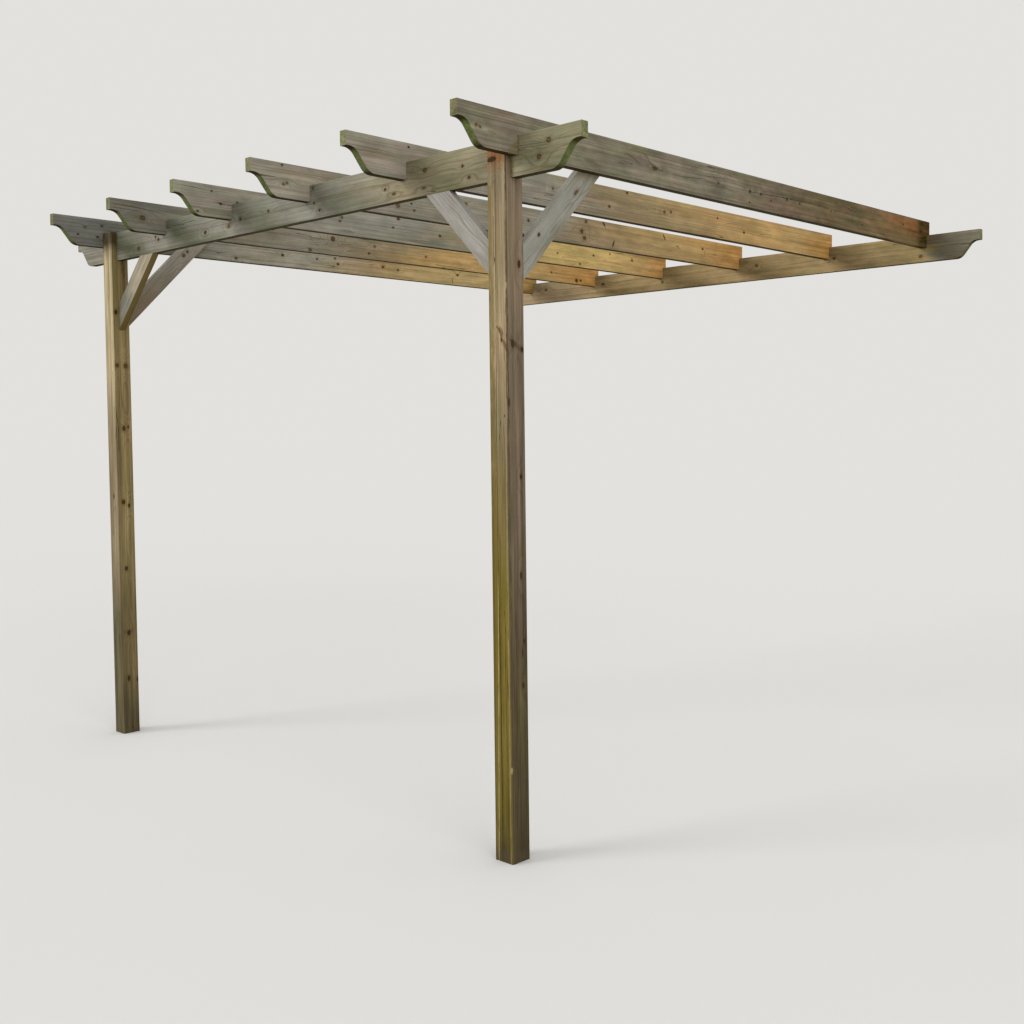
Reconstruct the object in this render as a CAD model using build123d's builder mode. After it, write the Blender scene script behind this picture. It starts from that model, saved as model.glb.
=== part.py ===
from build123d import *
from math import cos, radians, sin, sqrt
import os

# A lean-to pergola of planed softwood: two posts and a front beam carry six rafters,
# whose back ends sit on a plate fixed to a wall. Four 45 degree braces stiffen the posts.
# All sizes are in millimetres.
# X runs along the wall, Y points into the wall and Z points up.
# The origin is the middle of the wall plate's back face, which lies flat on the wall.

# Timber sizes
post_width = 90.0
board_thickness = 35.0
board_depth = 145.0
board_length = 3600.0
brace_width = 90.0

# Main layout
headroom = 2480.0
beam_overhang = 377.5
rafter_overhang = 263.0
front_cheek = 30.0
lap_depth = 70.0
housing_play = 0.5

# Middle of each inner rafter, measured from the middle of the wall plate
rafter_2_place = 887.0
rafter_3_place = 266.0
rafter_4_place = -324.0
rafter_5_place = -901.0

# Ogee at the end of a board: upright nose, small flat, cove, slope and round
nose_height = 56.0
nose_flat = 15.0
cove_radius = 56.0
round_radius = 54.0
ogee_angle = 52.0

# Braces
brace_foot_depth = 360.0
brace_head_inset = 10.0

# Eased arrises
post_arris = 4.0
board_arris = 2.0

# The beam's ends run past the posts' middles, and the rafters' noses past the posts' fronts
post_spacing = board_length - 2 * beam_overhang
post_front_from_wall = board_length - rafter_overhang

# Heights above the origin
plate_under = -board_depth / 2
plate_top = board_depth / 2
ground = plate_under - headroom
rafter_under = plate_top - lap_depth
rafter_top = rafter_under + board_depth
notch_depth = lap_depth / 2
notch_width = board_thickness + 2 * housing_play

# Places along X
right_post_x = post_spacing / 2
left_post_x = -post_spacing / 2
end_rafter_x = post_spacing / 2 + post_width / 2 + board_thickness / 2
rafter_places = [
    end_rafter_x,
    rafter_2_place,
    rafter_3_place,
    rafter_4_place,
    rafter_5_place,
    -end_rafter_x,
]

# Places along Y
post_front_y = -post_front_from_wall
post_back_y = post_front_y + post_width
post_middle_y = post_front_y + post_width / 2
beam_front_y = post_front_y + front_cheek
beam_middle_y = beam_front_y + board_thickness / 2
plate_middle_y = -board_thickness / 2
rafter_nose_y = -board_length

# The ogee's bends, counted from the nose (back) and from the board's top edge (down)
bend = radians(ogee_angle)
cove_back = nose_flat + cove_radius * sin(bend)
cove_down = nose_height + cove_radius * (1 - cos(bend))
round_down = board_depth - round_radius * (1 - cos(bend))
round_back = cove_back + (round_down - cove_down) / sin(bend) * cos(bend)
ogee_back = round_back + round_radius * sin(bend)

# A slanted brace takes this much of a level or upright face
brace_cut = brace_width * sqrt(2)


def ogee_end(nose, inward, top):
    """Draws one shaped end, from the top corner of the nose to the underside."""

    def at(back, down):
        return (nose + inward * back, top - down)

    half = bend / 2
    cove_mid = at(
        nose_flat + cove_radius * sin(half),
        nose_height + cove_radius * (1 - cos(half)),
    )
    round_mid = at(
        ogee_back - round_radius * sin(half),
        board_depth - round_radius * (1 - cos(half)),
    )
    Line(at(0, 0), at(0, nose_height))
    Line(at(0, nose_height), at(nose_flat, nose_height))
    ThreePointArc(at(nose_flat, nose_height), cove_mid, at(cove_back, cove_down))
    Line(at(cove_back, cove_down), at(round_back, round_down))
    ThreePointArc(at(round_back, round_down), round_mid, at(ogee_back, board_depth))


def long_edges(shape, axis):
    """The long arrises of a board."""
    return shape.edges().filter_by(axis).filter_by(lambda e: e.length > board_length / 2)


def ogee_board(middle_y):
    """A board along X, with an ogee at both ends and its top notched for the rafters."""
    half_length = board_length / 2
    with BuildPart() as board:
        with BuildSketch(Plane.XZ.offset(-middle_y)):
            with BuildLine():
                ogee_end(-half_length, 1, plate_top)
                ogee_end(half_length, -1, plate_top)
                Line((-half_length, plate_top), (half_length, plate_top))
                Line(
                    (-half_length + ogee_back, plate_under),
                    (half_length - ogee_back, plate_under),
                )
            make_face()
        extrude(amount=board_thickness / 2, both=True)
        fillet(long_edges(board, Axis.X), board_arris)
        with Locations([(x, middle_y, plate_top - notch_depth) for x in rafter_places]):
            Box(
                notch_width,
                board_thickness,
                notch_depth,
                align=(Align.CENTER, Align.CENTER, Align.MIN),
                mode=Mode.SUBTRACT,
            )
    return board


def post(middle_x):
    """A post that stands on the ground, with a slot in its head for the front beam."""
    with BuildPart() as timber:
        with BuildSketch(Plane.XY.offset(ground)):
            with Locations((middle_x, post_middle_y)):
                RectangleRounded(post_width, post_width, post_arris)
        extrude(amount=plate_top - ground)
        with Locations((middle_x, beam_middle_y, plate_under)):
            Box(
                post_width,
                notch_width,
                board_depth,
                align=(Align.CENTER, Align.CENTER, Align.MIN),
                mode=Mode.SUBTRACT,
            )
    return timber


def rafter(middle_x):
    """A board along Y with an ogee at the front, halved over the beam and the wall plate."""
    with BuildPart() as board:
        with BuildSketch(Plane.YZ.offset(middle_x)):
            with BuildLine():
                ogee_end(rafter_nose_y, 1, rafter_top)
                Line((rafter_nose_y, rafter_top), (0, rafter_top))
                Line((0, rafter_top), (0, rafter_under))
                Line((0, rafter_under), (rafter_nose_y + ogee_back, rafter_under))
            make_face()
        extrude(amount=board_thickness / 2, both=True)
        fillet(long_edges(board, Axis.Y), board_arris)
        with Locations((middle_x, beam_middle_y, rafter_under)):
            Box(
                board_thickness,
                notch_width,
                notch_depth,
                align=(Align.CENTER, Align.CENTER, Align.MIN),
                mode=Mode.SUBTRACT,
            )
        with Locations((middle_x, 0, rafter_under)):
            Box(
                board_thickness,
                board_thickness + housing_play,
                notch_depth,
                align=(Align.CENTER, Align.MAX, Align.MIN),
                mode=Mode.SUBTRACT,
            )
    return board


def slanted_edges(shape):
    """The long arrises of a brace."""
    return shape.edges().filter_by(lambda e: e.length > brace_width * 2)


def beam_brace(post_face_x, inward):
    """A brace from the inner side of a post up to the underside of the front beam."""
    low = plate_under - brace_foot_depth
    with BuildPart() as brace:
        with BuildSketch(Plane.XZ.offset(-beam_middle_y)):
            Polygon(
                (post_face_x, low),
                (post_face_x + inward * brace_foot_depth, plate_under),
                (post_face_x + inward * (brace_foot_depth - brace_cut), plate_under),
                (post_face_x, low + brace_cut),
                align=None,
            )
        extrude(amount=board_thickness / 2, both=True)
        fillet(slanted_edges(brace), board_arris)
    return brace


def rafter_brace(middle_x):
    """A brace from the back of a post up beside the inner face of an end rafter."""
    low = plate_under - brace_foot_depth
    head = rafter_top - brace_head_inset
    reach = head - low
    with BuildPart() as brace:
        with BuildSketch(Plane.YZ.offset(middle_x)):
            Polygon(
                (post_back_y, low),
                (post_back_y + reach, head),
                (post_back_y + reach - brace_cut, head),
                (post_back_y, low + brace_cut),
                align=None,
            )
        extrude(amount=board_thickness / 2, both=True)
        fillet(slanted_edges(brace), board_arris)
    return brace


os.makedirs("parts", exist_ok=True)

# Posts
post_right = post(right_post_x)
post_right.part.label = "post_right"
export_step(post_right.part, "parts/post_right.step")

post_left = post(left_post_x)
post_left.part.label = "post_left"
export_step(post_left.part, "parts/post_left.step")

# Front beam and wall plate
front_beam = ogee_board(beam_middle_y)
front_beam.part.label = "front_beam"
export_step(front_beam.part, "parts/front_beam.step")

wall_plate = ogee_board(plate_middle_y)
wall_plate.part.label = "wall_plate"
export_step(wall_plate.part, "parts/wall_plate.step")

# Rafters, from the right-hand end to the left-hand end
for number, place in enumerate(rafter_places, start=1):
    one_rafter = rafter(place)
    one_rafter.part.label = f"rafter_{number}"
    export_step(one_rafter.part, f"parts/rafter_{number}.step")

# Braces along the front beam
brace_beam_right = beam_brace(right_post_x - post_width / 2, -1)
brace_beam_right.part.label = "brace_beam_right"
export_step(brace_beam_right.part, "parts/brace_beam_right.step")

brace_beam_left = beam_brace(left_post_x + post_width / 2, 1)
brace_beam_left.part.label = "brace_beam_left"
export_step(brace_beam_left.part, "parts/brace_beam_left.step")

# Braces along the end rafters, flush with the outer side of each post
brace_rafter_x = right_post_x + post_width / 2 - board_thickness / 2
brace_rafter_right = rafter_brace(brace_rafter_x)
brace_rafter_right.part.label = "brace_rafter_right"
export_step(brace_rafter_right.part, "parts/brace_rafter_right.step")

brace_rafter_left = rafter_brace(-brace_rafter_x)
brace_rafter_left.part.label = "brace_rafter_left"
export_step(brace_rafter_left.part, "parts/brace_rafter_left.step")
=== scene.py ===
"""Looks of a lean-to pergola of planed, treated softwood: weathered timber, light, floor and camera."""
import math
import random

import bpy
from mathutils import Matrix, Vector


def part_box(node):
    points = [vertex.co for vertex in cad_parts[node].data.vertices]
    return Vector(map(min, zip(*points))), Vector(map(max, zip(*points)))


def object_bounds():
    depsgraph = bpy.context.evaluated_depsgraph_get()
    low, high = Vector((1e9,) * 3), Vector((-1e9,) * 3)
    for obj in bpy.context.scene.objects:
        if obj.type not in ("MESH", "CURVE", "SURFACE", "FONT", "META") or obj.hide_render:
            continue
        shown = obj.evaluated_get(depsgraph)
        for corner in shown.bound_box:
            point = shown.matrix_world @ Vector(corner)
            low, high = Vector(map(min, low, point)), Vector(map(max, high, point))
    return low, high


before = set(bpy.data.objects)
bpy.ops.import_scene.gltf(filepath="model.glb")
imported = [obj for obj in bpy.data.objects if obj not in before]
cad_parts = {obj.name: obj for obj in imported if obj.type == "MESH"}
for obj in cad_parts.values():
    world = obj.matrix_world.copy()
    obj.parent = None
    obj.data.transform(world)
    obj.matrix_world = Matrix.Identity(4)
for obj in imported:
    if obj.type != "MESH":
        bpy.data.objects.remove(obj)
cad_low, cad_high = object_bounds()


def tone(red, green, blue):
    """A colour as it is seen, 0 to 255, as the linear colour that a shader takes."""
    seen = [part / 255 for part in (red, green, blue)]
    return (*[part / 12.92 if part < 0.04045 else ((part + 0.055) / 1.055) ** 2.4 for part in seen], 1.0)


# Tones of treated softwood, some sheltered and some weathered, with its stains, knots and cracks, and some
# that also paint shade and a sky highlight
SILVER = tone(157, 154, 149)
CREAM = tone(178, 163, 132)
ASH = tone(142, 138, 127)
STONE = tone(124, 118, 105)
SMOKE = tone(109, 109, 105)
LICHEN = tone(103, 102, 66)
PEWTER = tone(148, 147, 139)
HAZEL = tone(143, 128, 104)
BISCUIT = tone(162, 141, 104)
HONEY = tone(181, 151, 104)
AMBER = tone(180, 137, 79)
RUSSET = tone(107, 75, 40)
LEMON = tone(199, 173, 116)
OLIVE = tone(111, 97, 44)
UMBER = tone(112, 98, 83)
DRAB = tone(126, 110, 74)
PEAT = tone(80, 70, 52)
SAGE = tone(126, 127, 90)
MOSS = tone(50, 42, 14)
LOAM = tone(40, 31, 6)
IVY = tone(58, 64, 36)
# Painted sky highlight on the braces' tops
SKY_HIGHLIGHT = tone(198, 198, 194)
FAWN = tone(145, 143, 134)
SAND = tone(167, 147, 119)
STRAW = tone(148, 130, 92)
BRONZE = tone(100, 82, 38)
GOLD = tone(198, 163, 111)
CLAY = tone(99, 92, 70)
TAN = tone(131, 115, 97)
RIND = tone(88, 60, 32)
FERN = tone(92, 106, 58)
# also used as painted shade on the left post's head
KNOT_AND_SHADE_DARK = tone(50, 40, 26)
KNOT_RED = tone(132, 92, 58)
CRACK = tone(44, 36, 22)
PALE = tone(176, 166, 116)
BARK = tone(104, 91, 70)
OAT = tone(152, 146, 135)
LOESS = tone(108, 95, 66)
KHAKI = tone(132, 116, 82)
DUNE = tone(150, 141, 119)
WILLOW = tone(135, 131, 108)
OCHRE = tone(148, 118, 66)
CEDAR = tone(150, 98, 60)
WHEAT = tone(182, 160, 115)
COCOA = tone(121, 99, 71)
SLATE = tone(128, 128, 118)
CHALK = tone(168, 159, 141)

# Noise of a board, in waves per metre along its grain, across its face and through it
RAGGED = (60, 130, 130)
BEND = (0.9, 5, 5)
CURLS = (9, 16, 16)
JITTER = (5, 60, 60)
DRIFT = (1.3, 9, 9)
COOL = (2.2, 14, 14)
WARM = (1.7, 11, 11)
END_MOSS = (95, 95, 95)
STREAK = (0.8, 55, 55)
FIBRE = (6, 260, 260)
FLECK = (45, 1100, 1100)
VEINS = (0.55, 85, 85)
SPECKS = (230, 420, 420)
SPECKLED = (3, 16, 16)
WANDER = (2.6, 75, 75)
CHECKED = (2.4, 22, 22)
BROKEN = (14, 60, 60)
UNEVEN = (4, 18, 18)
BOARD_PATCHES = (8, 19, 19)
POST_PATCHES = (2.5, 30, 30)

# Where noises start, so that none follows another: a step for each seed, then those of one board
SEED_STEPS = (3.1, 1.7, 2.3)
WARM_START = (7.0, 3.0, 5.0)
HUE_START = (4.0, 6.0, 1.0)
VEIN_START = (1.0, 5.0, 8.0)
CHECK_START = (2.0, 9.0, 4.0)

# What the tone under it is multiplied by
LATE_WOOD = (0.66, 0.61, 0.53)
KNOT_STAIN = (0.70, 0.60, 0.46)
# a painted highlight along the arrises
ARRIS_HIGHLIGHT = (1.35, 1.33, 1.28)

UNEVENNESS = (0.006, 0.004, 0.004)  # how far the outlines of knots and marks stray, in metres
KNOT_REACH = (0.22, 0.42, 0.42)     # the swelling of the rings fades over 1 / this, in sizes of the knot
RING_SWELL = 1.6                    # how far a knot pushes the rings out, in widths of the knot
RING_TAPER = 0.003                  # how fast the rings widen along the grain
WOOD_GLOSS = 0.04                   # specular level
MILLIMETRE = 0.001

# Directions along the grain, across the face and through the board
HALF = math.sqrt(0.5)
LENGTHWISE = ((0, 1, 0), (0, 0, 1), (1, 0, 0))
CROSSWISE = ((1, 0, 0), (0, 0, 1), (0, 1, 0))
UPRIGHT = ((0, 0, 1), (1, 0, 0), (0, 1, 0))
SLOPE_X_RIGHT = ((HALF, 0, -HALF), (HALF, 0, HALF), (0, 1, 0))
SLOPE_X_LEFT = ((HALF, 0, HALF), (-HALF, 0, HALF), (0, 1, 0))
SLOPE_Y = ((0, HALF, HALF), (0, -HALF, HALF), (1, 0, 0))

# Faces of the posts, the beam and a brace, in metres; the left post mirrors the right one
POST_FRONT, POST_BACK = -3.337, -3.247
POST_OUTER, POST_INNER = 1.467, 1.378
ARRIS_X, ARRIS_Y = 1.466, -3.336    # the right post's near arris
FOOT = -2.553                       # the underside of the posts
DAMP = 0.008                        # how far off the face the middle of a foot's damp stain lies
BEAM_FRONT = -3.307
LEFT_BRACE_FACE = -1.433

THROUGH = 9.0                       # size of a knot through its board, far more than any board's thickness
FAR = 9.0                           # distance from the nearest knot where there is none


class Wiring:
    """Adds nodes to one tree and feeds their inputs, each from a socket or from a plain value."""

    def __init__(self, tree):
        self.tree = tree

    def feed(self, socket, value):
        if isinstance(value, bpy.types.NodeSocket):
            self.tree.links.new(value, socket)
        else:
            socket.default_value = value

    def node(self, kind, inputs=None, **settings):
        made = self.tree.nodes.new(kind)
        for name, value in settings.items():
            setattr(made, name, value)
        for key, value in (inputs or {}).items():
            self.feed(made.inputs[key], value)
        return made

    def math(self, operation, *values, clamp=False):
        made = self.node("ShaderNodeMath", dict(enumerate(values)), operation=operation, use_clamp=clamp)
        return made.outputs[0]

    def times(self, first, second):
        return self.math("MULTIPLY", first, second)

    def vector(self, operation, *values):
        made = self.node("ShaderNodeVectorMath", dict(enumerate(values)), operation=operation)
        number = operation in ("DOT_PRODUCT", "LENGTH")
        return made.outputs["Value" if number else "Vector"]

    def scaled(self, place, factors):
        return self.vector("MULTIPLY", place, factors)

    def stretched(self, vector, factor):
        made = self.node("ShaderNodeVectorMath", {0: vector, "Scale": factor}, operation="SCALE")
        return made.outputs[0]

    def step(self, value, low, high, bottom=0.0, top=1.0, curve="SMOOTHSTEP"):
        """A smooth rise from bottom at low to top at high."""
        given = {"Value": value, "From Min": low, "From Max": high, "To Min": bottom, "To Max": top}
        return self.node("ShaderNodeMapRange", given, interpolation_type=curve).outputs["Result"]

    def line(self, value, low, high, bottom=0.0, top=1.0):
        """A straight rise from bottom at low to top at high."""
        return self.step(value, low, high, bottom, top, "LINEAR")

    def mix(self, factor, first, second, blend="MIX"):
        given = {0: factor, 6: first, 7: second}
        return self.node("ShaderNodeMix", given, data_type="RGBA", blend_type=blend).outputs[2]

    def tinted(self, colour, factors):
        return self.mix(1.0, colour, (*factors, 1.0), "MULTIPLY")

    def noise(self, place, waves, detail, rough, output):
        given = {"Vector": self.scaled(place, waves), "Scale": 1.0, "Detail": detail, "Roughness": rough}
        return self.node("ShaderNodeTexNoise", given).outputs[output]

    def ramp(self, value, stops):
        """Colours along a length: stops are (metres, colour), lowest first."""
        low, high = stops[0][0], stops[-1][0]
        made = self.node("ShaderNodeValToRGB", {"Fac": self.line(value, low, high)})
        points = made.color_ramp.elements
        points[0].position, points[0].color = 0.0, stops[0][1]
        points[1].position, points[1].color = 1.0, stops[-1][1]
        for place, colour in stops[1:-1]:
            points.new((place - low) / (high - low)).color = colour
        return made.outputs["Color"]


def group(name, vectors, numbers, outputs):
    """An empty node group with these inputs and outputs, and the wiring that fills it."""
    tree = bpy.data.node_groups.new(name, "ShaderNodeTree")
    for keys, in_out, kind in ((vectors, "INPUT", "NodeSocketVector"), (numbers, "INPUT", "NodeSocketFloat"),
                               (outputs, "OUTPUT", "NodeSocketFloat")):
        for key in keys:
            tree.interface.new_socket(key, in_out=in_out, socket_type=kind)
    wires = Wiring(tree)
    return wires, wires.node("NodeGroupInput").outputs, wires.node("NodeGroupOutput").inputs


def make_knot_group():
    """One knot: how near it is in its own sizes, how it swells the rings round it, and how red it is."""
    wires, given, result = group("knot", ("Place", "Middle", "Size"), ("Red", "Nearest", "Swell", "Redness"),
                                 ("Nearest", "Swell", "Redness"))
    away = wires.vector("DIVIDE", wires.vector("SUBTRACT", given["Place"], given["Middle"]), given["Size"])
    far = wires.vector("LENGTH", away)
    nearer = wires.math("LESS_THAN", far, given["Nearest"])
    wires.feed(result["Nearest"], wires.math("MINIMUM", far, given["Nearest"]))
    kept = wires.times(given["Redness"], wires.math("SUBTRACT", 1.0, nearer))
    wires.feed(result["Redness"], wires.math("MULTIPLY_ADD", given["Red"], nearer, kept))
    spread = wires.vector("LENGTH", wires.scaled(away, KNOT_REACH))
    bulge = wires.math("EXPONENT", wires.times(wires.times(spread, spread), -1.0))
    wide = wires.node("ShaderNodeSeparateXYZ", {0: given["Size"]}).outputs["Y"]
    wires.feed(result["Swell"], wires.math("ADD", given["Swell"], wires.times(bulge, wide)))
    return wires.tree


def make_mark_group():
    """One line on a face, from Start along Run, bowed by Bow at its middle and thin at its ends."""
    wires, given, result = group("mark", ("Place", "Start", "Run", "Bow"), ("Width", "Strength", "Marks"),
                                 ("Marks",))
    away = wires.vector("SUBTRACT", given["Place"], given["Start"])
    length = wires.vector("DOT_PRODUCT", given["Run"], given["Run"])
    part = wires.math("DIVIDE", wires.vector("DOT_PRODUCT", away, given["Run"]), length, clamp=True)
    fullness = wires.times(wires.times(part, wires.math("SUBTRACT", 1.0, part)), 4.0)
    run = wires.stretched(given["Run"], part)
    bow = wires.stretched(given["Bow"], fullness)
    far = wires.vector("LENGTH", wires.vector("SUBTRACT", wires.vector("SUBTRACT", away, run), bow))
    width = wires.times(given["Width"], wires.math("MULTIPLY_ADD", fullness, 0.65, 0.35))
    shown = wires.times(wires.step(wires.math("DIVIDE", far, width), 0.35, 1.0, 1.0, 0.0), given["Strength"])
    wires.feed(result["Marks"], wires.math("MAXIMUM", shown, given["Marks"]))
    return wires.tree


knot_group = make_knot_group()
mark_group = make_mark_group()


class Board(Wiring):
    """The timber of one board. Its places are measured along its grain, across its face and through it."""

    def __init__(self, tree, axes, seed):
        super().__init__(tree)
        self.axes = [Vector(axis) for axis in axes]
        self.parts = self.measured(self.node("ShaderNodeTexCoord").outputs["Object"])
        self.place = self.node("ShaderNodeCombineXYZ", dict(enumerate(self.parts))).outputs[0]
        self.own = self.vector("ADD", self.place, tuple(seed * step for step in SEED_STEPS))
        uneven = self.scaled(self.sway(RAGGED), UNEVENNESS)
        self.ragged = self.vector("ADD", self.place, uneven)

        normal = self.node("ShaderNodeNewGeometry").outputs["Normal"]
        self.ahead, sideways, outwards = [self.math("ABSOLUTE", part) for part in self.measured(normal)]
        self.cut_end = self.step(self.ahead, 0.35, 0.75)
        self.height = self.node("ShaderNodeSeparateXYZ", {0: normal}).outputs["Z"]
        self.front = self.step(self.vector("DOT_PRODUCT", normal, (0, -1, 0)), 0.4, 0.9)
        self.arris = self.step(self.times(sideways, outwards), 0.18, 0.45)

    def measured(self, vector):
        return [self.vector("DOT_PRODUCT", vector, tuple(axis)) for axis in self.axes]

    def local(self, point):
        return tuple(Vector(point).dot(axis) for axis in self.axes)

    def grain(self, waves, detail=2.0, rough=0.5, start=None, output="Fac"):
        """Noise from 0 to 1 of this board's own."""
        place = self.vector("ADD", self.own, start) if start else self.own
        return self.noise(place, waves, detail, rough, output)

    def sway(self, waves, detail=2.0):
        """A vector that wanders about zero."""
        return self.vector("SUBTRACT", self.grain(waves, detail, output="Color"), (0.5, 0.5, 0.5))

    def lay(self, strength, colour):
        self.colour = self.mix(strength, self.colour, colour)

    def find_knots(self, knots):
        """How near the nearest knot is, how far the rings swell, and how red that knot is."""
        found = {"Nearest": FAR, "Swell": 0.0, "Redness": 0.0}
        for middle, size, red in knots:
            given = {"Place": self.ragged, "Middle": self.local(middle), "Size": size, "Red": red, **found}
            made = self.node("ShaderNodeGroup", given, node_tree=knot_group)
            found = {key: made.outputs[key] for key in found}
        self.nearest, self.swell, self.redness = found.values()

    def marks(self, rows):
        """How strongly the strongest of these marks shows."""
        shown = 0.0
        for start, end, bow, width, strength in rows:
            start, end = Vector(self.local(start)), Vector(self.local(end))
            given = {"Place": self.ragged, "Start": start, "Run": end - start, "Bow": self.local(bow),
                     "Width": width, "Strength": strength, "Marks": shown}
            shown = self.node("ShaderNodeGroup", given, node_tree=mark_group).outputs["Marks"]
        return shown

    def grow_rings(self, pith, year, waviness, curl):
        """Late wood, from 0 to 1, in growth rings a year apart round the pith, turned by the knots."""
        bent = self.vector("ADD", self.place, self.scaled(self.sway(BEND), (0, waviness * 2, waviness * 2)))
        if curl:
            bent = self.vector("ADD", bent, self.scaled(self.sway(CURLS, 1.0), (0, curl, curl)))
        _, across, through = self.local(pith)
        outward = self.scaled(self.vector("SUBTRACT", bent, (0, across, through)), (0, 1, 1))
        radius = self.math("ADD", self.vector("LENGTH", outward), self.times(self.swell, RING_SWELL))
        radius = self.math("MULTIPLY_ADD", self.parts[0], RING_TAPER, radius)
        years = self.math("MULTIPLY_ADD", self.grain(JITTER), 0.5, self.math("DIVIDE", radius, year))
        season = self.math("FRACT", years)
        late = self.times(self.step(season, 0.3, 0.85), self.step(season, 0.92, 1.0, 1.0, 0.0))
        harvest = self.node("ShaderNodeTexWhiteNoise", {"W": self.math("FLOOR", years)},
                            noise_dimensions="1D").outputs["Value"]
        self.late = self.times(late, self.line(self.math("POWER", harvest, 2.0), 0, 1, 0.25, 1.1))

    def weather(self, tones, side_tones, underside_stain_and_shade, top_weathering_and_highlight):
        """The tone of each stretch and side, silvered on top and, on the braces, with a painted sky
        highlight there; dark underneath, partly painted shade; green at the sawn ends, darker with painted
        shade where they face down.
        """
        drift = self.math("SUBTRACT", self.grain(DRIFT, 3.0), 0.5)
        drifted = self.math("MULTIPLY_ADD", drift, 0.9, self.parts[0])
        self.colour = self.ramp(drifted, tones)
        if side_tones:
            self.colour = self.mix(self.front, self.ramp(drifted, side_tones), self.colour)
        self.lay(self.step(self.grain(COOL, 3.0, 0.6), 0.48, 0.75, 0.0, 0.35), LICHEN)
        self.lay(self.step(self.grain(WARM, 3.0, 0.6, WARM_START), 0.5, 0.78, 0.0, 0.35), DRAB)
        # Tops silvered by the weather; on the braces, a painted sky highlight
        self.lay(self.step(self.height, 0.45, 0.85, 0.0, 0.6), top_weathering_and_highlight)
        # Undersides darker: partly staining, partly painted shade
        self.lay(self.step(self.height, -0.80, -0.20, 0.97, 0.0), underside_stain_and_shade)
        # Cut ends greener, and darker where they face down: partly green end grain, partly painted shade
        end_green_and_shade = self.mix(self.step(self.height, -0.7, -0.1, 0.85, 0.0), SAGE, FERN)
        moss = self.step(self.grain(END_MOSS, 4.0, 0.7), 0.46, 0.62, 0.0, 0.55)
        self.lay(self.times(self.cut_end, 0.85), self.mix(moss, end_green_and_shade, IVY))

    def turn_hue(self, patch, hues):
        """Patches a hand wide, some greener and some browner."""
        hue = self.grain(patch, 3.0, 0.6, HUE_START)
        greener = self.tinted(self.colour, (1 - 0.12 * hues, 1 - 0.01 * hues, 1 - 0.20 * hues))
        browner = self.tinted(self.colour, (1 + 0.10 * hues, 1 - 0.02 * hues, 1 - 0.07 * hues))
        self.colour = self.mix(self.step(hue, 0.36, 0.64), greener, browner)

    def draw_grain(self, patch, banding, mottling):
        """Rings, long streaks, fine fibres and patches, each darker or lighter than the tone under it."""
        mottle = self.grain(patch, 4.0, 0.62)
        self.streak = self.grain(STREAK, 3.0, 0.6)
        self.fibre = self.grain(FIBRE, 4.0, 0.7)
        fleck = self.grain(FLECK, 1.0)
        shade = self.line(self.streak, 0.25, 0.75, 1 - banding, 1 + banding)
        shade = self.times(shade, self.line(self.fibre, 0.25, 0.75, 0.82, 1.16))
        shade = self.times(shade, self.line(fleck, 0.2, 0.8, 0.93, 1.06))
        shade = self.times(shade, self.line(mottle, 0.28, 0.72, 1 - mottling, 1 + mottling))
        shaded = self.node("ShaderNodeCombineColor", {0: shade, 1: shade, 2: shade}).outputs[0]
        self.colour = self.mix(1.0, self.colour, shaded, "MULTIPLY")
        darker = self.tinted(self.colour, LATE_WOOD)
        veins = self.step(self.grain(VEINS, start=VEIN_START), 0.56, 0.66)
        veins = self.times(veins, self.step(self.ahead, 0.3, 0.6, 0.6, 0.0))
        self.lay(self.math("MAXIMUM", self.times(self.late, 0.7), veins), darker)

    def add_mildew(self):
        """Fine dark specks that gather in patches."""
        specks = self.step(self.grain(SPECKS, 2.0, 0.7), 0.58, 0.70)
        speckled = self.step(self.grain(SPECKLED), 0.48, 0.66)
        self.lay(self.times(self.times(specks, speckled), 0.45), PEAT)

    def open_checks(self, cracks, splitting):
        """Drying checks, thin wandering lines that follow the grain, and the cracks at their own places."""
        ridge = self.math("ABSOLUTE", self.math("SUBTRACT", self.grain(WANDER, 1.0, 0.4), 0.5))
        checked = self.grain(CHECKED, 1.0, start=CHECK_START)
        opened = self.times(self.step(ridge, 0.004, 0.014, 1.0, 0.0),
                            self.step(checked, 0.60, 0.68, 0.0, splitting))
        if cracks:
            opened = self.math("MAXIMUM", opened, self.marks(cracks))
        self.opened = self.times(opened, self.math("SUBTRACT", 1.0, self.cut_end))

    def stain_and_shade(self, bands, washes):
        """Bands and washes across the board, real staining and painted shade. Bands: tone, lean, strength
        off the front, stops. Washes: tone and marks.
        """
        broken = self.line(self.grain(BROKEN, 3.0, 0.6), 0.3, 0.6, 0.35, 1.0)
        uneven = self.line(self.grain(UNEVEN, 3.0, 0.6), 0.3, 0.7, 0.72, 1.15)
        for wash, lean, elsewhere, stops in bands:
            leaning = self.math("MULTIPLY_ADD", self.parts[1], lean, self.parts[0])
            strength = self.ramp(leaning, [(place, (share, share, share, 1.0)) for place, share in stops])
            strength = self.times(strength, self.line(self.front, 0, 1, elsewhere, 1.0))
            self.lay(self.times(strength, uneven), wash)
        for wash, marks in washes:
            self.lay(self.times(self.marks(marks), broken), wash)

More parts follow.
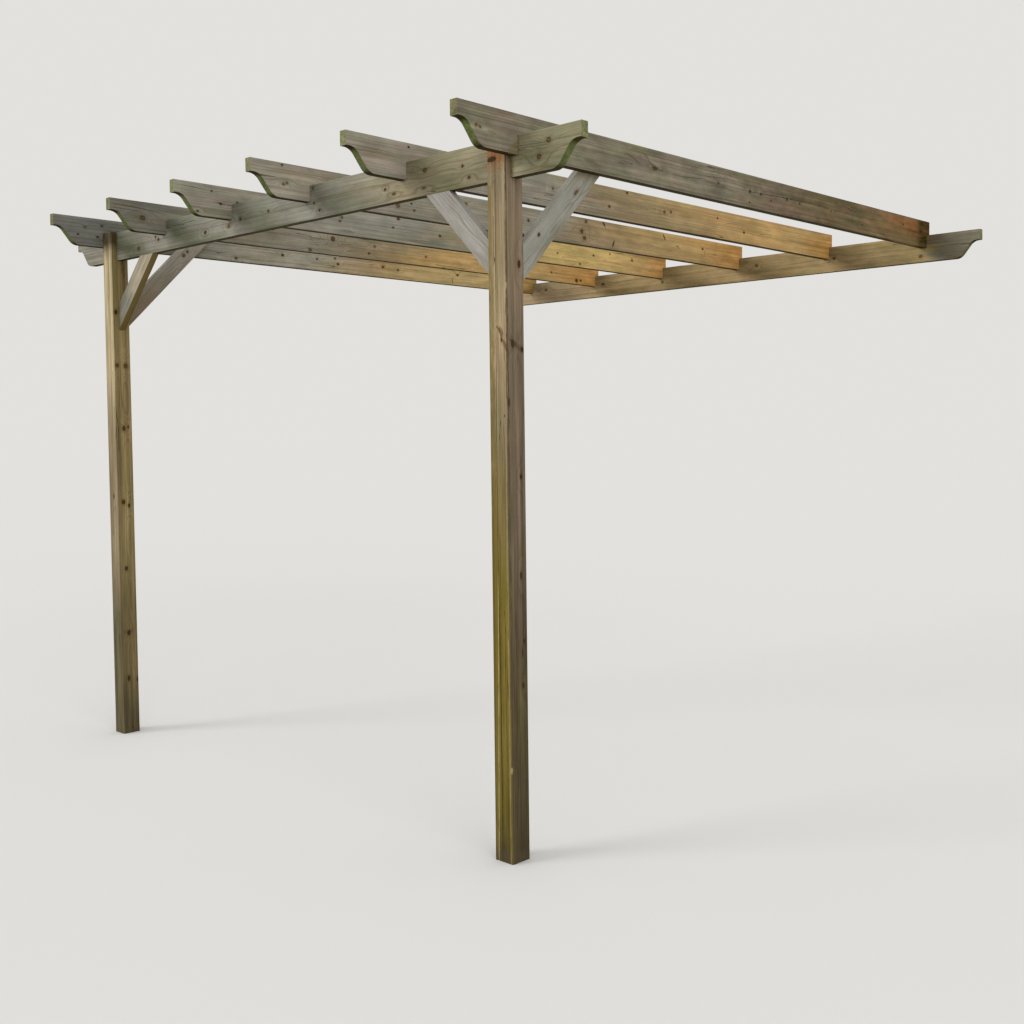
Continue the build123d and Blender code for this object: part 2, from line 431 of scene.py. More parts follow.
    def draw_knots(self):
        """A brown halo, a dark rim, and a heart with its own rings, dark at the core unless it is red."""
        stained = self.tinted(self.colour, KNOT_STAIN)
        self.lay(self.step(self.nearest, 1.0, 2.4, 0.5, 0.0), stained)
        heart = self.mix(self.redness, KNOT_AND_SHADE_DARK, self.mix(0.45, stained, KNOT_RED))
        turns = self.math("SINE", self.times(self.nearest, 20.0))
        heart = self.mix(self.line(turns, -1, 1, 0.0, 0.4), heart, KNOT_AND_SHADE_DARK)
        core = self.step(self.nearest, 0.1, 0.4, 0.6, 0.0)
        heart = self.mix(self.times(core, self.math("SUBTRACT", 1.0, self.redness)), heart, KNOT_AND_SHADE_DARK)
        inside = self.step(self.nearest, 0.82, 1.06, 1.0, 0.0)
        rim = self.times(self.step(self.nearest, 0.52, 0.76), inside)
        heart = self.mix(self.times(rim, 0.92), heart, KNOT_AND_SHADE_DARK)
        self.lay(self.times(inside, 0.93), heart)

    def paint_arris_highlight_and_checks(self):
        """Painted highlight along the arrises, and dark open checks."""
        arris_highlight = self.times(self.arris, self.line(self.streak, 0.35, 0.65, 0.1, 0.75))
        self.lay(arris_highlight, self.tinted(self.colour, ARRIS_HIGHLIGHT))
        self.lay(self.times(self.opened, 0.85), CRACK)

    def relief(self, knotty):
        """Relief in millimetres: proud late wood and fibres, sunk checks and knots."""
        height = self.times(self.late, 0.22)
        height = self.math("MULTIPLY_ADD", self.fibre, 0.18, height)
        height = self.math("MULTIPLY_ADD", self.opened, -1.3, height)
        if knotty:
            height = self.math("ADD", self.step(self.nearest, 0.8, 1.15, -0.35, 0.0), height)
        bump = self.node("ShaderNodeBump", {"Height": height, "Strength": 1.0, "Distance": MILLIMETRE})
        return bump.outputs["Normal"]

    def roughness(self):
        matt = self.line(self.fibre, 0.2, 0.8, 0.70, 0.86)
        return self.math("MULTIPLY_ADD", self.late, -0.06, matt)


def dress(name, axes, pith, tones, seed, side_tones=None, knots=(), cracks=(), washes=(), bands=(),
          year=0.0062, waviness=0.012, curl=0.0, banding=0.20, mottling=0.19, hues=0.35, patch=BOARD_PATCHES,
          splitting=1.0, underside_stain_and_shade=LOAM, top_weathering_and_highlight=SILVER):
    """Gives a node of the frame its own timber.

    pith is a point that the rings go round, year their spacing in metres, and waviness and curl how far
    they wander. tones are (place along the grain, colour), and side_tones are those of the faces that don't
    look forwards. banding, mottling and hues say how strong the streaks, patches and tints are."""
    material = bpy.data.materials.new(name + "_timber")
    material.use_nodes = True
    board = Board(material.node_tree, axes, seed)
    board.find_knots(knots)
    board.grow_rings(pith, year, waviness, curl)
    board.weather(tones, side_tones, underside_stain_and_shade, top_weathering_and_highlight)
    board.turn_hue(patch, hues)
    board.draw_grain(patch, banding, mottling)
    board.add_mildew()
    board.open_checks(cracks, splitting)
    board.stain_and_shade(bands, washes)
    if knots:
        board.draw_knots()
    board.paint_arris_highlight_and_checks()
    shader = material.node_tree.nodes["Principled BSDF"]
    shader.inputs["Specular IOR Level"].default_value = WOOD_GLOSS
    board.feed(shader.inputs["Base Color"], board.colour)
    board.feed(shader.inputs["Normal"], board.relief(bool(knots)))
    board.feed(shader.inputs["Roughness"], board.roughness())
    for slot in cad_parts[name].material_slots:
        slot.material = material


def middle_of(name):
    low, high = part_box(name)
    return (low + high) / 2


def through(middle, radius, red=0.0, long=1.25):
    """A knot that runs through a board: red is from 0 to 1, and long is its length over its width."""
    return middle, (0.75 * radius * long, 0.75 * radius, THROUGH), red


def on_face(x, y, z, radius, red=0.0, long=1.5):
    """A knot on the surface of a post: red is from 0 to 1, and long is its length over its width."""
    return (x, y, z), (radius * long, radius, radius), red


def on_side(x, *marks):
    """Marks on a face that looks right: each start, end and bow is (y, z), then width and strength."""
    return [((x, *start), (x, *end), (0, *bow), width, strength)
            for start, end, bow, width, strength in marks]


def on_front(y, *marks):
    """Marks on a face that looks forwards: each start, end and bow is (x, z), then width and strength."""
    return [((start[0], y, start[1]), (end[0], y, end[1]), (bow[0], 0, bow[1]), width, strength)
            for start, end, bow, width, strength in marks]


def down_arris(*marks):
    """Straight marks down the right post's near arris: top, bottom, width and strength."""
    return [((ARRIS_X, ARRIS_Y, top), (ARRIS_X, ARRIS_Y, bottom), (0, 0, 0), width, strength)
            for top, bottom, width, strength in marks]


def rafter_shade_and_stain(faces, run, end):
    """Stops of painted shadow of each rafter, partly green staining, strongest just right of each rafter and
    fading along the board.
    """
    stops = [(-2.1, 0.0)]
    for face, share in faces:
        stops += [(face - 0.03, 0.0), (face + 0.08, share), (face + 0.18, 0.93 * share),
                  (face + 0.8 * run, 0.22 * share), (face + run, 0.0)]
    return stops + [(end, 0.0)]


# Rafters from the right-hand end to the left. Places are (y, z), and cracks and washes lie on the face at
# this x. A knot is its place, radius, redness and length over width.
RAFTERS = {
    "rafter_1": dict(
        face=1.503, banding=0.3, mottling=0.32, hues=0.6, underside_stain_and_shade=MOSS,
        tones=[(-3.6, STONE), (-1.9, STONE), (-1.5, UMBER), (-1.2, BARK), (-0.8, BARK), (-0.45, COCOA),
               (0.0, RUSSET)],
        knots=[(-3.512, 0.073, 0.006, 0.8), (-3.492, 0.069, 0.006, 0.6), (-2.506, 0.073, 0.01, 0.5, 2.2),
               (-1.81, 0.074, 0.009), (-1.72, 0.075, 0.008), (-1.498, 0.079, 0.008),
               (-1.386, 0.075, 0.006), (-1.636, 0.057, 0.006), (-1.814, 0.025, 0.006),
               (-2.056, 0.077, 0.006), (-1.09, 0.074, 0.007, 0.4), (-0.32, 0.099, 0.008)],
        cracks=[((-2.698, 0.097), (-2.603, 0.076), (0, 0.012), 0.0022, 0.8),
                ((-2.391, 0.067), (-2.157, 0.084), (0, -0.006), 0.0022, 0.8),
                ((-2.193, 0.088), (-1.929, 0.104), (0, 0.004), 0.0018, 0.7),
                ((-1.81, 0.074), (-1.148, 0.088), (0, 0.003), 0.0024, 0.9),
                ((-1.515, 0.144), (-1.489, 0.078), (0.008, 0), 0.0028, 0.8),
                ((-0.776, 0.115), (-0.712, 0.026), (0.02, 0), 0.0026, 0.7)],
        washes=[(CEDAR, [((-0.55, 0.118), (-0.04, 0.098), (0, 0), 0.036, 0.55)]),
                (LOESS, [((-0.5, 0.02), (-0.05, 0.02), (0, 0), 0.045, 0.7)]),
                (MOSS, [((-0.06, 0.3), (-0.06, -0.15), (0, 0), 0.12, 1.0)]),
                (PEAT, [((-2.7, 0.103), (-2.6, 0.072), (0, 0.008), 0.008, 0.6),
                        ((-2.578, 0.12), (-2.54, 0.092), (0.006, 0), 0.01, 0.65),
                        ((-2.548, 0.096), (-2.478, 0.074), (0, -0.004), 0.011, 0.7),
                        ((-2.525, 0.122), (-2.468, 0.086), (0.006, 0), 0.007, 0.55),
                        ((-2.95, 0.045), (-2.865, 0.038), (0, 0), 0.01, 0.5)]),
                (COCOA, [((-3.514, 0.066), (-3.492, 0.092), (0, 0), 0.012, 0.6),
                         ((-3.478, 0.098), (-3.432, 0.074), (0, 0.006), 0.012, 0.6),
                         ((-3.455, 0.062), (-3.412, 0.056), (0, 0), 0.01, 0.55)]),
                (OLIVE, [((-3.306, 0.045), (-3.35, -0.01), (0, 0), 0.026, 0.55)])]),
    "rafter_2": dict(
        face=0.905,
        tones=[(-3.6, OAT), (-3.2, OAT), (-2.7, ASH), (-2.5, ASH), (-2.15, HAZEL), (-1.4, BISCUIT),
               (-1.1, HONEY), (-0.7, GOLD), (-0.3, HONEY), (0.0, AMBER)],
        knots=[(-3.293, 0.132, 0.006), (-2.065, 0.057, 0.009, 0.2), (-1.64, 0.083, 0.01, 0.8),
               (-1.586, 0.089, 0.009, 0.8), (-1.184, 0.107, 0.007), (-0.937, 0.06, 0.01, 0.2),
               (-2.455, 0.086, 0.009, 0.8), (-1.933, 0.136, 0.008)],
        cracks=[((-1.925, 0.128), (-1.865, 0.084), (0.012, 0), 0.0028, 0.7),
                ((-1.278, 0.091), (-1.243, 0.039), (0.01, 0), 0.0028, 0.7),
                ((-0.617, 0.136), (-0.545, 0.062), (0.015, 0), 0.0026, 0.6),
                ((-0.352, 0.138), (-0.275, 0.033), (0.015, 0), 0.0026, 0.6)]),
    "rafter_3": dict(
        face=0.283,
        tones=[(-3.6, OAT), (-3.2, OAT), (-2.7, ASH), (-1.9, ASH), (-1.6, HAZEL), (-1.2, BISCUIT),
               (-0.5, HONEY), (0.0, AMBER)],
        knots=[(-3.439, 0.06, 0.008, 0.9), (-3.422, 0.067, 0.008, 0.9), (-3.445, 0.138, 0.006),
               (-2.816, 0.05, 0.013, 0.8), (-2.735, 0.068, 0.007), (-2.718, 0.039, 0.007, 0.2),
               (-1.951, 0.083, 0.009), (-1.992, 0.006, 0.01), (-1.502, 0.13, 0.012, 0.7),
               (-1.537, 0.075, 0.014, 0.4, 1.3), (-1.515, 0.042, 0.014, 0.5, 1.4), (-0.428, 0.092, 0.009),
               (-2.388, 0.111, 0.01, 0.9)],
        cracks=[((-1.362, 0.146), (-1.341, 0.118), (0, 0), 0.0095, 1.0),
                ((-1.263, 0.054), (-1.28, 0.018), (0, 0), 0.009, 1.0),
                ((-0.82, 0.137), (-0.798, 0.106), (0, 0), 0.009, 1.0),
                ((-0.408, 0.082), (-0.405, 0.052), (0, 0), 0.004, 0.7),
                ((-1.478, 0.12), (-1.474, 0.02), (0, 0), 0.003, 0.5)]),
    "rafter_4": dict(
        face=-0.306,
        tones=[(-3.6, ASH), (-2.9, ASH), (-2.6, FAWN), (-2.0, FAWN), (-1.6, BISCUIT), (-1.1, LEMON),
               (-0.6, LEMON), (-0.35, HONEY), (0.0, AMBER)],
        knots=[(-3.411, 0.119, 0.006), (-3.366, 0.067, 0.008, 0.2), (-3.485, 0.021, 0.006),
               (-3.276, 0.083, 0.007), (-2.307, 0.124, 0.01, 0.2, 1.6), (-2.674, 0.088, 0.009, 0.7),
               (-2.687, 0.069, 0.009, 0.7), (-2.344, 0.076, 0.007), (-2.015, 0.068, 0.01, 0.3),
               (-0.739, 0.086, 0.009), (-0.359, 0.091, 0.01), (-0.579, 0.11, 0.008, 0.9),
               (-1.071, 0.069, 0.008, 0.9), (-0.867, 0.022, 0.01, 0.9)],
        cracks=[((-3.4, 0.071), (-3.29, 0.068), (0, -0.003), 0.003, 0.8),
                ((-3.59, 0.126), (-3.44, 0.118), (0, 0.003), 0.0024, 0.6)],
        washes=[(PEAT, [((-2.69, 0.024), (-2.6, 0.022), (0, 0), 0.012, 0.6)])]),
    "rafter_5": dict(
        face=-0.883,
        tones=[(-3.6, SMOKE), (-3.35, SMOKE), (-3.15, STONE), (-2.8, STONE), (-2.5, ASH), (-1.9, HAZEL),
               (-1.5, HONEY), (-0.5, HONEY), (0.0, AMBER)],
        knots=[(-3.432, 0.069, 0.017, 0.6, 1.1), (-2.286, 0.09, 0.02, 0.35, 1.0),
               (-2.443, 0.014, 0.013, 0.7), (-2.032, 0.035, 0.009), (-1.99, 0.078, 0.01, 0.9),
               (-0.485, 0.061, 0.009, 0.3), (-0.232, 0.026, 0.017, 0.1), (-0.19, 0.03, 0.011, 0.1),
               (-1.598, 0.056, 0.01, 0.9)],
        cracks=[((-3.59, 0.118), (-3.3, 0.098), (0, 0.006), 0.003, 0.7),
                ((-3.585, 0.102), (-3.42, 0.094), (0, 0.003), 0.0024, 0.6)],
        washes=[(PEAT, [((-2.435, 0.082), (-2.43, 0.066), (0, 0), 0.01, 0.3)])]),
    "rafter_6": dict(
        face=-1.467,
        tones=[(-3.6, SMOKE), (-3.2, SMOKE), (-2.95, STONE), (-2.7, ASH), (-2.1, OAT), (-1.5, BISCUIT),
               (-0.95, WHEAT), (-0.6, WHEAT), (-0.3, HONEY), (0.0, OCHRE)],
        knots=[(-3.432, 0.096, 0.007, 0.9), (-3.339, 0.111, 0.008, 0.3), (-3.471, 0.057, 0.007),
               (-3.365, 0.053, 0.008), (-2.209, 0.071, 0.011), (-1.958, 0.071, 0.009, 0.4),
               (-1.822, 0.087, 0.009, 0.4), (-1.8, 0.054, 0.011), (-1.441, 0.069, 0.012, 0.3),
               (-1.316, 0.061, 0.01, 0.2), (-0.788, 0.073, 0.012, 0.1), (-2.529, 0.023, 0.011, 0.3)],
        cracks=[((-0.838, 0.052), (-0.833, 0.012), (0, 0), 0.0045, 0.8)]),
}


def dress_rafter(number, name, face, knots, cracks, washes=(), **look):
    """A rafter whose pith lies off its centre, each by an amount of its own."""
    dice = random.Random(name)
    off_centre = Vector((dice.uniform(0.055, 0.10), 0, dice.uniform(-0.05, 0.05)))
    dress(name, LENGTHWISE, middle_of(name) + off_centre, seed=number + 1.37,
          knots=[through((0, y, z), *sizes) for y, z, *sizes in knots],
          cracks=on_side(face, *cracks),
          washes=[(wash, on_side(face, *marks)) for wash, marks in washes], **look)


for number, (name, look) in enumerate(RAFTERS.items()):
    dress_rafter(number, name, **look)

# The beam and the plate. Places of knots are (x, z)
beam_knots = [(1.651, 0.03, 0.0145, 0.9, 1.1), (1.605, -0.021, 0.0145, 0.8, 1.05),
              (1.012, 0.024, 0.014, 0.6), (1.254, -0.039, 0.009, 0.3), (1.22, 0.007, 0.008),
              (0.777, -0.015, 0.008), (0.83, -0.04, 0.009, 0.6, 1.9), (-0.239, -0.002, 0.011, 0.2),
              (-0.02, 0.005, 0.01, 0.3), (-0.334, -0.022, 0.012, 0.7), (-0.533, -0.028, 0.014, 0.1),
              (-0.959, -0.012, 0.012, 0.3), (-0.987, 0.004, 0.01, 0.3), (-1.154, -0.035, 0.012, 0.2),
              (1.005, -0.042, 0.008, 0.8, 2.0), (0.308, 0.058, 0.009, 0.9), (0.313, -0.005, 0.008, 0.3),
              (0.35, -0.041, 0.009, 0.1)]
dress(
    "front_beam", CROSSWISE, middle_of("front_beam") + Vector((0, 0.07, -0.03)), seed=11.2,
    mottling=0.17, banding=0.15, underside_stain_and_shade=MOSS,
    tones=[(-1.8, FAWN), (0.5, FAWN), (0.9, DUNE), (1.4, DUNE), (1.6, WILLOW), (1.8, WILLOW)],
    # Painted shadow of each rafter nose on the beam, partly green staining: darkest just right of the nose,
    # fading rightwards
    bands=[(IVY, 1.7, 0.3, rafter_shade_and_stain([(-1.44, 0.8), (-0.883, 0.69), (-0.306, 0.62), (0.283, 0.52),
                                      (0.905, 0.58)], 0.45, 1.45)),
           (IVY, 1.2, 0.3, [(1.44, 0.0), (1.52, 0.06), (1.62, 0.1), (1.8, 0.0)])],
    # The first wash is more painted shadow right of rafter_1, partly green staining
    washes=[(IVY, on_front(BEAM_FRONT, ((1.5, -0.1), (1.8, 0.01), (0.03, -0.03), 0.05, 0.25))),
            # Dark lines of painted shade in the corners beside rafter_1 and the right post
            (OLIVE, on_front(BEAM_FRONT, ((1.505, -0.004), (1.505, 0.11), (0, 0), 0.008, 0.95),
                             ((1.4705, 0.04), (1.4705, -0.11), (0, 0), 0.008, 0.95)))],
    knots=[through((x, 0, z), *sizes) for x, z, *sizes in beam_knots])

plate_knots = [(1.468, -0.04, 0.012, 0.6), (0.937, 0.004, 0.011, 0.3), (-1.343, 0.018, 0.011),
               (-0.815, 0.013, 0.012, 0.1), (-0.31, -0.02, 0.01, 0.5), (0.41, 0.015, 0.011, 0.3)]
dress(
    "wall_plate", CROSSWISE, middle_of("wall_plate") + Vector((0, 0.08, 0.04)), seed=12.9,
    tones=[(-1.8, SAND), (-1.2, SAND), (-0.9, BISCUIT), (1.2, BISCUIT), (1.42, STRAW), (1.5, STONE),
           (1.8, STONE)],
    # Painted shadow of each rafter on the plate, rafter_1's too, partly green staining: darkest just right
    # of it
    bands=[(MOSS, 2.0, 0.3, rafter_shade_and_stain([(-1.467, 0.5), (-0.901, 0.5), (-0.324, 0.5), (0.266, 0.52),
                                       (0.887, 0.5)], 0.5, 1.44)),
           (MOSS, 1.2, 0.3, [(1.44, 0.0), (1.55, 0.56), (1.64, 0.46), (1.84, 0.08)])],
    knots=[through((x, 0, z), *sizes) for x, z, *sizes in plate_knots])

# The posts. Places of knots are (x, y, z)
POST_GROWTH = dict(year=0.0055, waviness=0.008, patch=POST_PATCHES, mottling=0.27, hues=0.3)
post_knots = [(1.402, POST_FRONT, -0.002, 0.024, 0.1, 0.42), (POST_OUTER, -3.27, -0.375, 0.008, 0.0, 2.0),
              (1.44, POST_FRONT, -0.648, 0.004, 0.3, 2.2), (POST_OUTER, -3.308, -0.662, 0.009, 0.2, 1.6),
              (POST_OUTER, -3.259, -0.68, 0.008, 0.0, 1.2), (POST_OUTER, -3.33, -0.872, 0.004, 0.2, 4.5),
              (1.451, POST_FRONT, -0.92, 0.003, 0.3), (POST_OUTER, -3.272, -1.141, 0.007, 0.0),
              (POST_OUTER, -3.278, -1.5, 0.005, 0.1, 3.0), (POST_OUTER, -3.264, -1.741, 0.005, 0.1, 1.6),
              (POST_OUTER, -3.272, -1.904, 0.005, 0.0, 2.0), (POST_INNER, -3.3, -0.64, 0.009, 0.3),
              (POST_INNER, -3.28, -1.62, 0.008, 0.1), (1.43, POST_BACK, -1.0, 0.009, 0.3),
              (1.41, POST_BACK, -2.02, 0.008, 0.2)]
dress(
    "post_right", UPRIGHT, middle_of("post_right") + Vector((-0.012, 0.008, 0)), seed=14.4, banding=0.48,
    # The front darker and olive low down: partly algae, partly painted shade
    tones=[(-2.5525, PEAT), (-2.4, OLIVE), (-1.5, OLIVE), (-1.25, DRAB), (-0.9, HAZEL), (-0.7, SAND),
           (-0.35, SAND), (-0.15, HAZEL), (0.0725, HAZEL)],
    side_tones=[(-2.5525, PEAT), (-1.9, PEAT), (-1.4, UMBER), (-0.8, UMBER), (-0.4, TAN), (0.0725, TAN)],
    bands=[(KNOT_AND_SHADE_DARK, 0.0, 1.0, [(-2.5525, 0.32), (-2.3, 0.12), (-1.95, 0.0)]),
           (CEDAR, 0.0, 0.0, [(-0.06, 0.0), (-0.02, 0.35), (0.02, 0.75)])],
    knots=[on_face(*row) for row in post_knots],
    cracks=on_front(POST_FRONT,
                    ((1.42, 0.04), (1.415, -0.6), (-0.002, 0), 0.0024, 0.8),
                    ((1.415, -0.52), (1.41, -1.5), (-0.002, 0), 0.0024, 0.8),
                    ((1.41, -1.4), (1.416, -2.55), (0.003, 0), 0.003, 0.9),
                    ((1.408, -0.2), (1.406, -0.317), (0, 0), 0.0022, 0.7))
    + on_side(POST_OUTER,
              ((-3.326, -0.355), (-3.281, -0.422), (0.012, 0.012), 0.0022, 0.8),
              ((-3.3, -0.9), (-3.296, -1.42), (0.002, 0), 0.0018, 0.5)),
    washes=[
        (OLIVE, on_front(POST_FRONT, ((1.388, -0.1), (1.392, -2.6), (0, 0), 0.03, 0.7))),
        (MOSS, on_front(POST_FRONT,
                        ((1.38, -0.45), (1.384, -2.4), (0, 0), 0.013, 0.4),
                        ((1.404, 0.3), (1.402, -1.3), (0, 0), 0.005, 0.3),
                        ((1.4225, -1.35), (1.413, -2.55), (0, 0), 0.006, 0.45),
                        ((1.44, -1.8), (1.449, -2.6), (0, 0), 0.005, 0.4))
         + on_side(POST_OUTER,
                   ((-3.31, 0.2), (-3.306, -2.3), (0, 0), 0.009, 0.2),
                   ((-3.274, -0.1), (-3.27, -1.6), (0, 0), 0.011, 0.2),
                   ((-3.252, -0.9), (-3.254, -2.5), (0, 0), 0.012, 0.35))),
        (PEAT, on_side(POST_OUTER,
                       ((-3.334, 0.2), (-3.333, -2.7), (0, 0), 0.009, 0.95),
                       ((-3.325, -0.645), (-3.25, -0.69), (0, 0), 0.014, 0.8),
                       ((-3.333, -1.204), (-3.334, -1.294), (0, 0), 0.006, 0.7),
                       ((-3.328, -1.809), (-3.328, -1.856), (0, 0), 0.014, 0.6),
                       ((-3.334, -1.042), (-3.334, -1.085), (0, 0), 0.008, 0.6))
         + down_arris((-0.296, -0.437, 0.007, 0.6), (-0.479, -0.579, 0.005, 0.7))
         + on_front(POST_FRONT - DAMP, ((1.378, FOOT), (1.478, FOOT), (0, 0), 0.06, 0.75))
         + on_side(POST_OUTER + DAMP, ((-3.345, FOOT), (-3.235, FOOT), (0, 0), 0.06, 0.75))),
        (RIND, on_front(POST_FRONT,
                        ((1.418, -0.6), (1.441, -0.65), (0.007, 0.004), 0.01, 0.85),
                        ((1.437, -0.642), (1.464, -0.69), (0.004, 0.004), 0.0105, 0.9),
                        ((1.431, -0.598), (1.449, -0.64), (0.005, 0), 0.0055, 0.7),
                        ((1.422, -0.64), (1.442, -0.664), (0, -0.006), 0.0055, 0.7))),
        (PALE, on_front(POST_FRONT,
                        ((1.411, -1.4), (1.396, -2.6), (0, 0), 0.0042, 0.55),
                        ((1.457, -0.95), (1.458, -2.6), (0, 0), 0.0055, 0.38))
         + down_arris((-0.445, -0.463, 0.005, 0.8), (-2.195, -2.217, 0.008, 0.5)))],
    **POST_GROWTH)

post_knots = [(-POST_INNER, -3.321, -0.339, 0.009, 0.0), (-POST_INNER, -3.323, -0.616, 0.011, 0.4, 1.0),
              (-POST_INNER, -3.275, -0.618, 0.012, 0.5, 1.1), (-POST_INNER, -3.293, -0.944, 0.01, 0.1),
              (-POST_INNER, -3.27, -0.936, 0.006, 0.3), (-1.42, POST_FRONT, -1.298, 0.006, 0.5, 2.0),
              (-POST_INNER, -3.307, -1.329, 0.012, 0.1, 1.1), (-POST_INNER, -3.276, -1.349, 0.008, 0.2),
              (-POST_INNER, -3.3, -1.68, 0.009, 0.0), (-POST_INNER, -3.295, -2.02, 0.01, 0.0),
              (-POST_INNER, -3.302, -2.261, 0.009, 0.0, 1.8), (-POST_INNER, -3.251, -2.274, 0.008, 0.0),
              (-POST_OUTER, -3.29, -0.9, 0.01, 0.2), (-POST_OUTER, -3.3, -1.78, 0.009, 0.1),
              (-1.42, POST_BACK, -1.34, 0.01, 0.2)]
dress(
    "post_left", UPRIGHT, middle_of("post_left") + Vector((0.010, 0.014, 0)), seed=15.8, banding=0.36,
    tones=[(-2.5525, CLAY), (-1.9, CLAY), (-1.6, HAZEL), (-0.98, HAZEL), (-0.7, CREAM), (0.0725, CREAM)],
    side_tones=[(-2.5525, PEAT), (-2.3, LOESS), (-1.8, LOESS), (-1.4, KHAKI), (-0.7, KHAKI), (-0.3, DRAB),
                (0.0725, DRAB)],
    # Painted shade of the rafters over the post's head, darkest at the top
    bands=[(KNOT_AND_SHADE_DARK, 0.0, 1.0, [(-0.03, 0.0), (0.02, 0.85)])],
    knots=[on_face(*row) for row in post_knots],
    cracks=on_front(POST_FRONT,
                    ((-1.452, -1.262), (-1.385, -1.33), (0, -0.01), 0.0035, 0.5),
                    ((-1.425, -0.2), (-1.418, -1.1), (0.002, 0), 0.002, 0.5)),
    washes=[(PEAT, on_side(-POST_INNER,
                           ((-3.262, -2.0), (-3.33, -2.01), (0, -0.01), 0.014, 0.5),
                           ((-3.334, 0.05), (-3.334, -2.6), (0, 0), 0.005, 0.4))
             + on_front(POST_FRONT - DAMP, ((-1.48, FOOT), (-1.37, FOOT), (0, 0), 0.04, 0.3))
             + on_side(-POST_INNER + DAMP, ((-3.345, FOOT), (-3.235, FOOT), (0, 0), 0.05, 0.6)))],
    **POST_GROWTH)

# The braces. A knot is its place, its sizes along, across and through the brace, and its redness
BRACES = {
    "brace_beam_right": dict(axes=SLOPE_X_RIGHT, seed=16.1, tones=[(0.8, SILVER), (1.6, SILVER)]),
    "brace_beam_left": dict(
        axes=SLOPE_X_LEFT, seed=17.3, tones=[(-1.3, STONE), (-1.08, SLATE), (-0.94, CHALK), (-0.8, CHALK)]),
    "brace_rafter_right": dict(
        axes=SLOPE_Y, seed=18.5, tones=[(-3.0, PEWTER), (-2.16, PEWTER), (-1.94, DRAB)],
        knots=[((POST_OUTER, -2.952, -0.078), (0.016, 0.006, 0.02), 0.8),
               ((POST_OUTER, -3.162, -0.258), (0.008, 0.007, 0.02), 0.1)]),
    "brace_rafter_left": dict(
        axes=SLOPE_Y, seed=19.7, tones=[(-3.0, HAZEL), (-2.6, TAN), (-2.2, ASH), (-1.8, ASH)],
        knots=[((LEFT_BRACE_FACE, -2.885, 0.0), (0.012, 0.01, 0.02), 0.5),
               ((LEFT_BRACE_FACE, -2.862, 0.022), (0.01, 0.008, 0.02), 0.5)]),
}
for name, look in BRACES.items():
    _, across, through_brace = look["axes"]
    pith = middle_of(name) + 0.05 * Vector(through_brace) + 0.03 * Vector(across)
    # The braces' tops take a painted sky highlight
    dress(name, pith=pith, year=0.005, waviness=0.02, curl=0.012, banding=0.10, mottling=0.12, hues=0.2,
          splitting=0.2, underside_stain_and_shade=BRONZE, top_weathering_and_highlight=SKY_HIGHLIGHT, **look)

FLOOR_HALF = 120.0                    # metres
FLOOR_COLOUR = (0.760, 0.757, 0.751, 1.0)
SKY_COLOUR = (1.0, 0.985, 0.955, 1.0)
SKY_LIGHT, SKY_SEEN = 0.75, 0.765     # strength as light, and as the camera and glossy surfaces see it
LAMPS = (                             # name, direction towards it, strength, spread in degrees
    ("key", (-0.50, -0.85, 0.45), 1.2, 24),
    ("fill", (0.90, -0.35, 0.40), 0.80, 40))

# The camera as fitted to the photograph: place in metres, angles in radians, the rest in pixels
CAMERA_PLACE = (4.45134, -6.40882, -0.96061)
TURN, TILT, ROLL = 0.756928, 0.044397, -0.011457
FOCAL, CENTRE_X, CENTRE_Y, IMAGE_SIDE = 1195.5, 525.22, 480.13, 1024.0
SENSOR_WIDTH = 36.0                   # millimetres


def in_scene(made):
    bpy.context.scene.collection.objects.link(made)
    return made


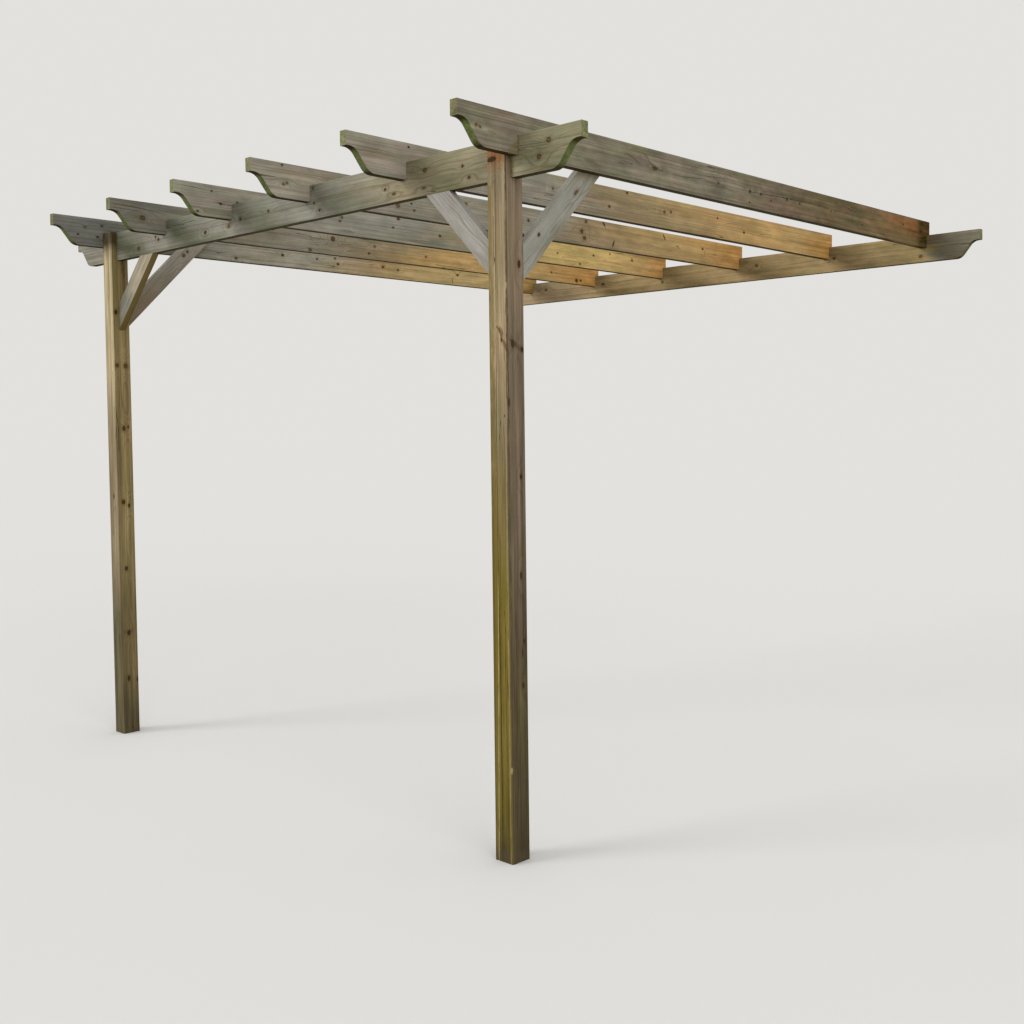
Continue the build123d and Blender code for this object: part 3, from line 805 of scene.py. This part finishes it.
def make_floor():
    """A plain pale floor that takes the pergola's shadow."""
    corners = [(x * FLOOR_HALF, y * FLOOR_HALF, cad_low.z) for x, y in ((-1, -1), (1, -1), (1, 1), (-1, 1))]
    mesh = bpy.data.meshes.new("floor")
    mesh.from_pydata(corners, [], [(0, 1, 2, 3)])
    material = bpy.data.materials.new("floor")
    material.use_nodes = True
    shader = material.node_tree.nodes["Principled BSDF"]
    shader.inputs["Base Color"].default_value = FLOOR_COLOUR
    shader.inputs["Specular IOR Level"].default_value = 0.0
    shader.inputs["Roughness"].default_value = 1.0
    mesh.materials.append(material)
    floor = in_scene(bpy.data.objects.new("floor", mesh))


def make_light():
    """Soft light all round, a broad key from the front and left, and a weaker fill from the right."""
    world = bpy.data.worlds.new("studio")
    bpy.context.scene.world = world
    world.use_nodes = True
    wires = Wiring(world.node_tree)
    background = world.node_tree.nodes["Background"]
    paths = wires.node("ShaderNodeLightPath").outputs
    glass = wires.math("MAXIMUM", paths["Is Glossy Ray"], paths["Is Transmission Ray"])
    seen = wires.math("MAXIMUM", paths["Is Camera Ray"], glass)
    background.inputs["Color"].default_value = SKY_COLOUR
    wires.feed(background.inputs["Strength"], wires.line(seen, 0, 1, SKY_LIGHT, SKY_SEEN))
    for name, toward, strength, spread in LAMPS:
        lamp = bpy.data.lights.new(name, "SUN")
        lamp.energy = strength
        lamp.angle = math.radians(spread)
        holder = in_scene(bpy.data.objects.new(name, lamp))
        holder.rotation_euler = Vector(toward).to_track_quat("Z", "Y").to_euler()


def make_camera():
    """A camera where the photograph was taken from."""
    ahead = Vector((-math.sin(TURN) * math.cos(TILT), math.cos(TURN) * math.cos(TILT), -math.sin(TILT)))
    level = Vector((math.cos(TURN), math.sin(TURN), 0.0))
    above = level.cross(ahead)
    right = math.cos(ROLL) * level + math.sin(ROLL) * above
    up = math.cos(ROLL) * above - math.sin(ROLL) * level
    data = bpy.data.cameras.new("camera")
    data.sensor_width = SENSOR_WIDTH
    data.lens = SENSOR_WIDTH * FOCAL / IMAGE_SIDE
    data.shift_x = (IMAGE_SIDE / 2 - CENTRE_X) / IMAGE_SIDE
    data.shift_y = (CENTRE_Y - IMAGE_SIDE / 2) / IMAGE_SIDE
    camera = in_scene(bpy.data.objects.new("camera", data))
    turned = Matrix((right, up, -ahead)).transposed().to_4x4()
    camera.matrix_world = Matrix.Translation(CAMERA_PLACE) @ turned
    bpy.context.scene.camera = camera


make_floor()
make_light()
make_camera()
bpy.context.scene.view_settings.view_transform = "Standard"
